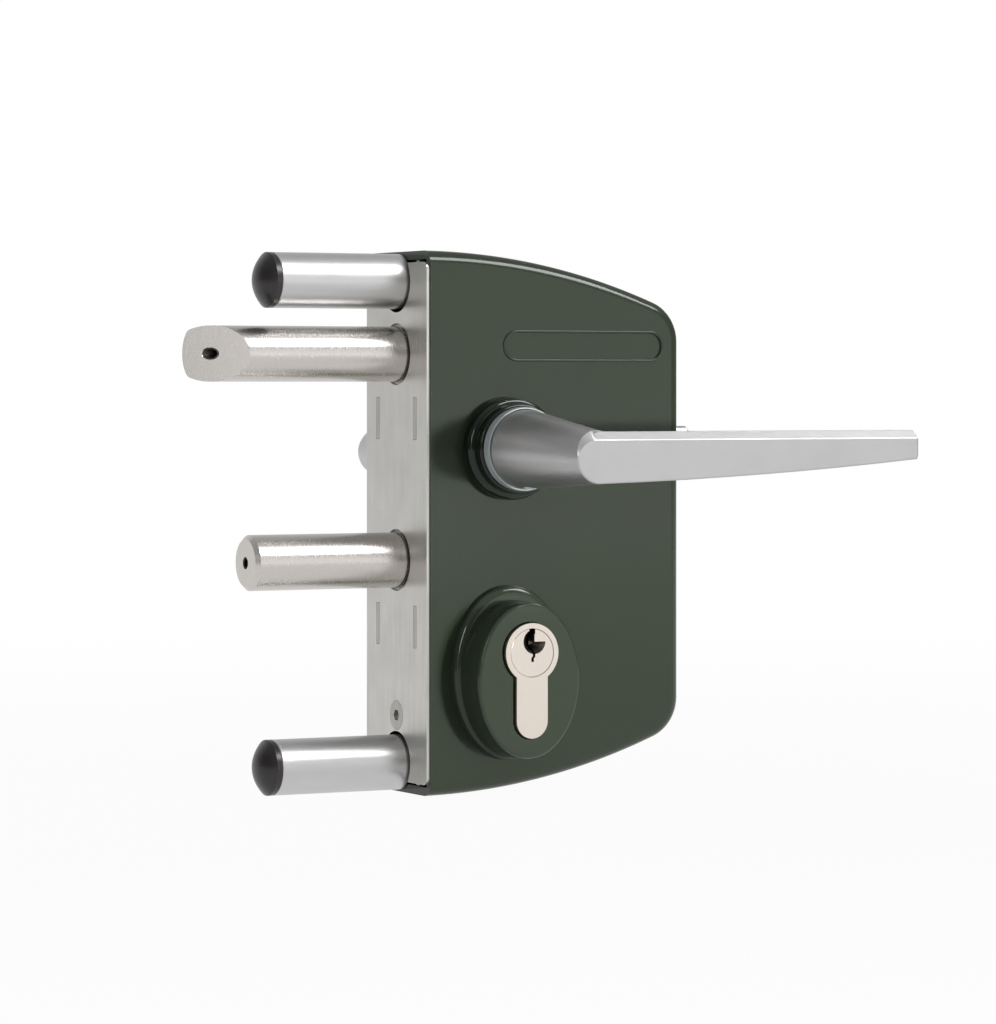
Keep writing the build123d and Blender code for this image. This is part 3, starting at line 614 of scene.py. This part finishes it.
def end_bevel(side):
    """Solid outside a cone that carries the bevel round the upper left end of the flat."""
    steps = 24
    start_angle = radians(88.2)
    sweep = radians(99.0)
    excess = 0.5
    cone_depth = 6.0
    rim = flat_radius + 9.0
    corners = (
        (flat_radius - excess, -excess), (flat_radius + cone_depth, cone_depth), (rim, cone_depth),
        (rim, -excess),
    )
    skin = Skin()
    rows = []
    for step in range(steps + 1):
        angle = start_angle + sweep * step / steps
        rows.append(skin.loop([
            (
                flat_centre_x + radius * cos(angle), side * (lever_front - depth),
                flat_level + radius * sin(angle),
            )
            for radius, depth in corners
        ]))
    skin.bands(rows)
    skin.flat(rows[0])
    skin.flat(rows[-1])
    return skin


for side, name in ((-1, "front_lever"), (1, "rear_lever")):
    whole = bpy.data.objects.new(name + "_whole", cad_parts[name].data.copy())
    work = bmesh.new()
    work.from_mesh(whole.data)
    bmesh.ops.remove_doubles(work, verts=work.verts, dist=0.001 * mm)
    work.to_mesh(whole.data)
    work.free()
    bar = cut(whole, [end_bevel(side)], anodised, anodised)
    finished(bar, name + "_bar", anodised, "handle", "lever_aluminium", name, crease=14)


# Cylinder
# A double profile cylinder of nickel plated brass runs through the case, held by one screw.
# Its plugs are turned to a close fit and carry a keyway under a sink that guides the key.
nickel = metal_material("nickel", (0.78, 0.71, 0.64), 0.3, (1.0, 0.1, 1.0), 0.0001 * mm, 0.3, 0.02)
finish_node("cylinder_body", nickel)
brass = metal_material("brass", (0.72, 0.52, 0.22), 0.3, even, 0.001 * mm, 0.3)
for node in (
    "front_key_pins", "rear_key_pins", "front_driver_pins", "rear_driver_pins",
    "front_chamber_plugs", "rear_chamber_plugs",
):
    finish_node(node, brass)
# Near black brass for the cut walls of the sink and the keyway: painted shade, so that the recess reads
# dark against the plated plug.
painted_shade_brass = metal_material("painted_shade_brass", (0.13, 0.11, 0.09), 0.4, even, 0.001 * mm, 0.3)
plug_radius = 6.95
plug_face = -plug_low.y
plug_edge = 0.2
plug_shoulder = 4.9
plug_tail_radius = 4.45
plug_tail_end = -plug_high.y
groove_start = 5.2
groove_end = 5.7
groove_depth = 0.8
cut_excess = 0.3
sink = (0.7, 3.2)
sink_radius = 3.8
sink_floor_radius = 1.0
sink_depth = 3.2
keyway_end = 5.9
mouth_half_width = 0.95
throat_half_width = 0.45
keyway_profile = [
    (mouth_half_width, 7.5), (mouth_half_width, 5.4), (throat_half_width, 5.2),
    (throat_half_width, 1.6), (mouth_half_width, 1.2), (mouth_half_width, -1.2), (0.5, -1.6),
    (0.5, -2.6), (-0.3, -2.6), (-0.3, -1.4), (0.15, -1.0), (0.15, 0.6), (-throat_half_width, 1.0),
    (-throat_half_width, 5.2), (-mouth_half_width, 5.4), (-mouth_half_width, 7.5),
]


def plug_row(points, depth, side):
    """Points about the cylinder's axis, at a depth."""
    return [(cylinder_axis[0] + x, side * depth, cylinder_axis[1] + z) for x, z in points]


def sink_cutter(side):
    """Three quarters of a cone that leads the key in."""
    steps = 36
    arc = [-1.5 * pi * step / steps for step in range(steps + 1)]
    skin = Skin()
    rows = []
    mouth_depth = plug_face + cut_excess
    floor_depth = plug_face - sink_depth
    for radius, depth in ((sink_radius, mouth_depth), (sink_floor_radius, floor_depth)):
        points = [(sink[0] + radius * cos(angle), sink[1] + radius * sin(angle)) for angle in arc]
        rows.append(skin.loop(plug_row(points + [sink], depth, side)))
    skin.bands(rows)
    skin.flat(rows[0])
    skin.flat(rows[1])
    return skin


def keyway_cutter(side):
    """The keyway: a wide mouth at the top of the plug, a narrow throat and a cranked foot."""
    skin = Skin()
    rows = [
        skin.loop(plug_row(keyway_profile, depth, side)) for depth in (plug_face + cut_excess, keyway_end)
    ]
    skin.bands(rows)
    skin.flat(rows[0])
    skin.flat(rows[1])
    return skin


for side, name in ((-1, "front_plug"), (1, "rear_plug")):
    skin = Skin()
    groove_floor = plug_radius - groove_depth
    path = [
        (plug_face, 0.0), (plug_face, plug_radius - plug_edge), (plug_face - plug_edge, plug_radius),
        (groove_end, plug_radius), (groove_end, groove_floor), (groove_start, groove_floor),
        (groove_start, plug_radius), (plug_shoulder, plug_radius), (plug_shoulder, plug_tail_radius),
        (plug_tail_end, plug_tail_radius), (plug_tail_end, 0.0),
    ]
    skin.bands(turned(skin, path, cylinder_axis, side))
    core = bpy.data.objects.new(name + "_whole", skin.mesh(name))
    # The cut walls of the sink and the keyway take the near black brass, painted shade in the recess.
    core_mesh = cut(core, [sink_cutter(side), keyway_cutter(side)], nickel, painted_shade_brass)
    finished(core_mesh, name + "_core", nickel, name, "nickel", name)


# Oval roses
# A die cast oval, painted as the collars are, closes the cover round the cylinder. It stands on
# a wider base with a rounded shoulder and is held by two screws from inside the cover.
gloss_paint = paint_material("gloss_paint", (0.05, 0.068, 0.042), 0.09)
face_rise = 0.7
rose_front = face_rise - box_mm("front_rose")[0].y
base_half_width = 18.5
base_half_height = 25.1
base_lift = 1.7
base_height = 3.2
base_round = 1.8
front_half_width = 16.4
front_half_height = 22.4
front_round = 1.1
wall_taper = 0.4
mouth_edge = 0.2
rose_screw_radius = 1.55
rose_screw_depth = 7.5


def oval_row(half_width, half_height, y, lift=0.0):
    """Oval of points square to the case's face."""
    steps = 160
    level = rose_level + lift
    angles = [2 * pi * step / steps for step in range(steps)]
    return [(backset + half_width * cos(angle), y, level + half_height * sin(angle)) for angle in angles]


for side, name in ((-1, "front"), (1, "rear")):
    base_steps = 8
    lift_steps = 12
    front_steps = 6
    skin = Skin()
    ovals = [(base_half_width, base_half_height, half_case, base_lift)]
    for step in range(base_steps + 1):
        angle = pi / 2 * step / base_steps
        inset = base_round * (1 - cos(angle))
        depth = half_case + base_height - base_round * (1 - sin(angle))
        lift = base_lift * (1 - step / lift_steps)
        ovals.append((base_half_width - inset, base_half_height - inset, depth, lift))
    taper = wall_taper * (1 - base_height / (rose_front - half_case))
    ovals.append((front_half_width + taper, front_half_height + taper, half_case + base_height, 0.0))
    for step in range(front_steps + 1):
        angle = pi / 2 * step / front_steps
        inset = front_round * (1 - cos(angle))
        depth = rose_front - front_round * (1 - sin(angle))
        ovals.append((front_half_width - inset, front_half_height - inset, depth, 0.0))
    rows = []
    for half_width, high, depth, lift in ovals:
        rows.append(skin.loop(oval_row(half_width, high, side * depth, lift)))
    skin.bands(rows)
    mouth = [
        skin.loop(profile_row(profile_play + mouth_edge, side * rose_front)),
        skin.loop(profile_row(profile_play, side * (rose_front - mouth_edge))),
        skin.loop(profile_row(profile_play, side * half_case)),
    ]
    skin.bands(mouth)
    back_holes = [mouth[-1]]
    for place in rose_screw_places:
        path = [(half_case, rose_screw_radius), (half_case + rose_screw_depth, rose_screw_radius)]
        hole = turned(skin, path, place, side, 24)
        skin.bands(hole)
        skin.flat(hole[-1])
        back_holes.append(hole[0])
    skin.flat(rows[-1], mouth[0])
    skin.flat(rows[0], *back_holes)
    skin.piece(name + "_rose_oval", gloss_paint, "case", "dark_paint", name + "_rose")


# Bolts
# Both are turned from stainless bar and polished round. The latch is milled to one long bevel;
# a threaded adjuster inside each, turned with a hex key through the tip, sets its reach.
turned_steel = metal_material(
    "turned_steel", (0.62, 0.59, 0.56), 0.27, (2.0, 0.3, 0.3), 0.00008 * mm, 0.15, 0.02
)
# Near black steel for a tube set in each key hole: painted shade where the bore would show a bright wall.
painted_shade_steel = metal_material("painted_shade_steel", (0.07, 0.065, 0.06), 0.5, even, 0.001 * mm, 0.3)
latch_bevel = radians(42)
nose_flat = 3.0
shade_tube_inner = 1.3
shade_tube_outer = 1.6
shade_tube_sink = 0.15
shade_tube_length = 3.0


def key_hole_shade(tip, slope, bolt_radius, level, body):
    """Near black tube in the key hole, painted shade over the bore's bright wall, its mouth cut level
    with the face of the bolt.
    """
    steps = 32
    skin = Skin()
    rows = []
    for radius, reach in (
        (shade_tube_outer, shade_tube_sink), (shade_tube_outer, shade_tube_length), (shade_tube_inner, shade_tube_length),
        (shade_tube_inner, shade_tube_sink), (shade_tube_outer, shade_tube_sink),
    ):
        row = []
        for step in range(steps):
            y = radius * cos(2 * pi * step / steps)
            z = radius * sin(2 * pi * step / steps)
            row.append((tip + reach + slope * (bolt_radius - nose_flat - y), y, level + z))
        rows.append(skin.loop(row))
    skin.bands(rows)
    skin.piece(body + "_key_hole_shade", painted_shade_steel, body, "works_steel")


for node, slope, body in (("latch_bolt", 1 / tan(latch_bevel), "latch"), ("dead_bolt", 0.0, "dead_bolt")):
    finish_node(node, turned_steel)
    head_low, head_high = box_mm(node)
    key_hole_shade(head_low.x, slope, head_high.y, (head_low.z + head_high.z) / 2, body)


# Latch spring
# Cold wound from music wire, it pushes the latch's carriage away from the seat behind it and
# closes up as the handle draws the latch in.
spring_wire = metal_material("spring_wire", (0.34, 0.33, 0.32), 0.35, even, 0.0005 * mm, 0.3)
spring_low, spring_high = box_mm("latch_spring")
wire_radius = 0.7
wire_sides = 10
coil_radius = (spring_high.z - spring_low.z) / 2 - wire_radius
coils = 9
coil_steps = 28
spring_middle = (spring_low.z + spring_high.z) / 2
spring_length = spring_high.x - spring_low.x - 2 * wire_radius
rise = spring_length / (coils * 2 * pi)
wire_length = sqrt(coil_radius**2 + rise**2)
skin = Skin()
rows = []
for step in range(coils * coil_steps + 1):
    angle = 2 * pi * step / coil_steps
    outwards = Vector((0.0, cos(angle), sin(angle)))
    along = Vector((rise, -coil_radius * sin(angle), coil_radius * cos(angle))) / wire_length
    sideways = along.cross(outwards)
    middle = Vector((spring_low.x + wire_radius + rise * angle, 0.0, spring_middle))
    middle += coil_radius * outwards
    turns = [2 * pi * point / wire_sides for point in range(wire_sides)]
    rows.append(skin.loop([
        middle + wire_radius * (cos(turn) * outwards + sin(turn) * sideways) for turn in turns
    ]))
skin.bands(rows)
skin.flat(rows[0])
skin.flat(rows[-1])
spring = skin.piece("latch_coil", spring_wire, "case", "works_steel", "latch_spring")
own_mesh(spring)


# Fixings
# Aluminium sleeves pass through the gate tube over the screws that clamp the lock to it. They
# are turned with a small chamfer at each end and a pocket for the screw's head.
turned_aluminium = metal_material(
    "turned_aluminium", (0.6, 0.6, 0.6), 0.36, (3.0, 0.3, 0.3), 0.0004 * mm, 0.3, 0.04
)
sleeve_low, sleeve_high = box_mm("upper_fixing_sleeve")
sleeve_radius = sleeve_high.y
sleeve_chamfer = 0.4
sleeve_bore = 4.3
pocket_radius = 6.8
pocket_end = sleeve_low.x + 10.0
fixing_level = (sleeve_low.z + sleeve_high.z) / 2


def turned_along(skin, path, level):
    """Rows of a piece turned about an axis square to the mounting face, at a level."""
    count = 96
    angles = [2 * pi * step / count for step in range(count)]
    return [
        skin.loop([(x, radius * cos(angle), level + radius * sin(angle)) for angle in angles])
        for x, radius in path
    ]


for place, level in (("upper", fixing_level), ("lower", -fixing_level)):
    skin = Skin()
    path = [
        (sleeve_low.x, pocket_radius), (sleeve_low.x, sleeve_radius - sleeve_chamfer),
        (sleeve_low.x + sleeve_chamfer, sleeve_radius), (sleeve_high.x - sleeve_chamfer, sleeve_radius),
        (sleeve_high.x, sleeve_radius - sleeve_chamfer), (sleeve_high.x, sleeve_bore),
        (pocket_end, sleeve_bore), (pocket_end, pocket_radius), (sleeve_low.x, pocket_radius),
    ]
    skin.bands(turned_along(skin, path, level))
    skin.piece(
        place + "_sleeve_tube", turned_aluminium, "case", "sleeve_aluminium", place + "_fixing_sleeve"
    )


# Caps
# Moulded black plastic domes with a spigot hide the heads of the fixing screws on the far side
# of the tube. They have a satin skin and a thin upright rim.
black_plastic = plastic_material("black_plastic", (0.023, 0.018, 0.019), 0.3)
cap_low, cap_high = box_mm("upper_cap")
cap_rim = 1.5
spigot = 6.7
spigot_chamfer = 0.3
dome_height = sleeve_low.x - cap_rim - cap_low.x
dome_fullness = 2.2
dome_steps = 16
for place, level in (("upper", fixing_level), ("lower", -fixing_level)):
    skin = Skin()
    path = [
        (cap_high.x, 0.0), (cap_high.x, spigot - spigot_chamfer), (cap_high.x - spigot_chamfer, spigot),
        (sleeve_low.x, spigot), (sleeve_low.x, sleeve_radius), (sleeve_low.x - cap_rim, sleeve_radius),
    ]
    for step in range(1, dome_steps + 1):
        radius = sleeve_radius * (1 - step / dome_steps)
        rise = dome_height * (1 - (radius / sleeve_radius) ** dome_fullness)
        path.append((sleeve_low.x - cap_rim - rise, radius))
    skin.bands(turned_along(skin, path, level))
    skin.piece(place + "_cap_dome", black_plastic, "case", "black_plastic", place + "_cap")


# Camera
# Level and just above the lock's middle, before the left end of its front, with a long lens.
# The lens is shifted and not tilted, so that the upright edges of the case stay parallel.
eye = Vector((-555.0, -1116.5, 40.1)) * mm
look = Vector((0.4662, 0.8847, 0.0))
camera_data = bpy.data.cameras.new("camera")
camera_data.sensor_width = 36.0
camera_data.lens = 151.02
camera_data.shift_y = -0.1255
camera_data.clip_start = 0.01
camera = bpy.data.objects.new("camera", camera_data)
camera.location = eye
camera.rotation_euler = look.to_track_quat("-Z", "Y").to_euler()
bpy.context.scene.collection.objects.link(camera)
bpy.context.scene.camera = camera


# Floor
# A plain pale table that keeps the lock's soft shadow and fades to the white of the backdrop.
# Metal and paint mirror it a little darker than white.
half_floor = 4.0
white_from = 0.1
white_by = 1.0
near_glow = 0.955
far_glow = 1.0
mirrored_glow = 0.85
pale = (0.75, 0.75, 0.75, 1.0)
floor_mesh = bpy.data.meshes.new("floor")
floor_mesh.from_pydata(
    [(x * half_floor, y * half_floor, cad_low[2]) for x, y in ((-1, -1), (1, -1), (1, 1), (-1, 1))],
    [], [(0, 1, 2, 3)],
)
floor = bpy.data.objects.new("floor", floor_mesh)
bpy.context.scene.collection.objects.link(floor)
floor_material, tree, shader = node_material("floor")
shader.inputs["Base Color"].default_value = pale
shader.inputs["Roughness"].default_value = 0.9
rays = tree.nodes.new("ShaderNodeLightPath")
glow = tree.nodes.new("ShaderNodeEmission")
place = tree.nodes.new("ShaderNodeNewGeometry")
away = tree.nodes.new("ShaderNodeVectorMath")
away.operation = "LENGTH"
tree.links.new(place.outputs["Position"], away.inputs[0])
fade = tree.nodes.new("ShaderNodeMapRange")
fade.interpolation_type = "SMOOTHSTEP"
fade.inputs["From Min"].default_value = white_from
fade.inputs["From Max"].default_value = white_by
fade.inputs["To Min"].default_value = near_glow
fade.inputs["To Max"].default_value = far_glow
tree.links.new(away.outputs["Value"], fade.inputs["Value"])
mirrored = tree.nodes.new("ShaderNodeMath")
mirrored.operation = "MULTIPLY"
mirrored.inputs[1].default_value = mirrored_glow
tree.links.new(rays.outputs["Is Glossy Ray"], mirrored.inputs[0])
share = tree.nodes.new("ShaderNodeMath")
share.operation = "MULTIPLY_ADD"
tree.links.new(rays.outputs["Is Camera Ray"], share.inputs[0])
tree.links.new(fade.outputs["Result"], share.inputs[1])
tree.links.new(mirrored.outputs["Value"], share.inputs[2])
mixed = tree.nodes.new("ShaderNodeMixShader")
tree.links.new(share.outputs["Value"], mixed.inputs["Fac"])
tree.links.new(shader.outputs["BSDF"], mixed.inputs[1])
tree.links.new(glow.outputs["Emission"], mixed.inputs[2])
tree.links.new(mixed.outputs["Shader"], tree.nodes["Material Output"].inputs["Surface"])
floor_mesh.materials.append(floor_material)
floor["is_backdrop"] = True


# Light
# The room shines grey in metal and paint, brighter above and behind. A small key lamp before the
# right of the lock throws the shadows to the left, and a broad face lamp beside it fills the
# faces. The top, strip and side lamps show only as glints, and the rear lamp only lights.
room_fill = 0.3
room_front = 0.16
room_back = 0.8
room_above = 0.4
world = bpy.data.worlds.new("studio")
world.use_nodes = True
bpy.context.scene.world = world
tree = world.node_tree
plain = tree.nodes["Background"]
direction = tree.nodes.new("ShaderNodeTexCoord")
across = tree.nodes.new("ShaderNodeSeparateXYZ")
tree.links.new(direction.outputs["Generated"], across.inputs["Vector"])
behind = tree.nodes.new("ShaderNodeMapRange")
behind.inputs["From Min"].default_value = 0.5
behind.inputs["From Max"].default_value = 0.95
behind.inputs["To Min"].default_value = room_front
behind.inputs["To Max"].default_value = room_back
tree.links.new(across.outputs["Y"], behind.inputs["Value"])
above = tree.nodes.new("ShaderNodeMapRange")
above.inputs["From Min"].default_value = 0.3
above.inputs["From Max"].default_value = 0.9
above.inputs["To Min"].default_value = 0.0
above.inputs["To Max"].default_value = room_above
tree.links.new(across.outputs["Z"], above.inputs["Value"])
around = tree.nodes.new("ShaderNodeMath")
tree.links.new(behind.outputs["Result"], around.inputs[0])
tree.links.new(above.outputs["Result"], around.inputs[1])
rays = tree.nodes.new("ShaderNodeLightPath")
strength = tree.nodes.new("ShaderNodeMix")
strength.inputs["A"].default_value = room_fill
tree.links.new(rays.outputs["Is Glossy Ray"], strength.inputs["Factor"])
tree.links.new(around.outputs["Value"], strength.inputs["B"])
tree.links.new(strength.outputs["Result"], plain.inputs["Strength"])
plain.inputs["Color"].default_value = (0.98, 0.99, 1.0, 1.0)
white = tree.nodes.new("ShaderNodeBackground")
white.inputs["Color"].default_value = (1.0, 1.0, 1.0, 1.0)
choose = tree.nodes.new("ShaderNodeMixShader")
tree.links.new(rays.outputs["Is Camera Ray"], choose.inputs["Fac"])
tree.links.new(plain.outputs["Background"], choose.inputs[1])
tree.links.new(white.outputs["Background"], choose.inputs[2])
tree.links.new(choose.outputs["Shader"], tree.nodes["World Output"].inputs["Surface"])

for name, place, size, radiance, lights, shines in (
    ("key", (0.65, -1.58, -0.05), (0.1, 0.1), 650.0, True, False),
    ("face", (0.75, -1.42, 0.05), (1.1, 1.1), 0.98, True, True),
    ("top", (0.72, -0.76, 1.0), (1.1, 0.42), 11.5, False, True),
    ("strip", (-1.05, -0.81, 0.49), (0.06, 0.5), 36.0, False, True),
    ("rear", (-0.6, 1.55, 0.4), (1.0, 1.0), 5.0, True, False),
    ("side", (-1.2, -0.98, 0.02), (0.45, 0.5), 0.85, False, True),
):
    lamp_data = bpy.data.lights.new(name, "AREA")
    lamp_data.shape = "RECTANGLE"
    lamp_data.size, lamp_data.size_y = size
    lamp_data.energy = pi * size[0] * size[1] * radiance
    lamp = bpy.data.objects.new(name, lamp_data)
    lamp.location = place
    lamp.rotation_euler = (-Vector(place)).to_track_quat("-Z", "Y").to_euler()
    lamp.visible_diffuse = lights
    lamp.visible_glossy = shines
    bpy.context.scene.collection.objects.link(lamp)

bpy.context.scene.view_settings.view_transform = "Standard"

low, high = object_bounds()
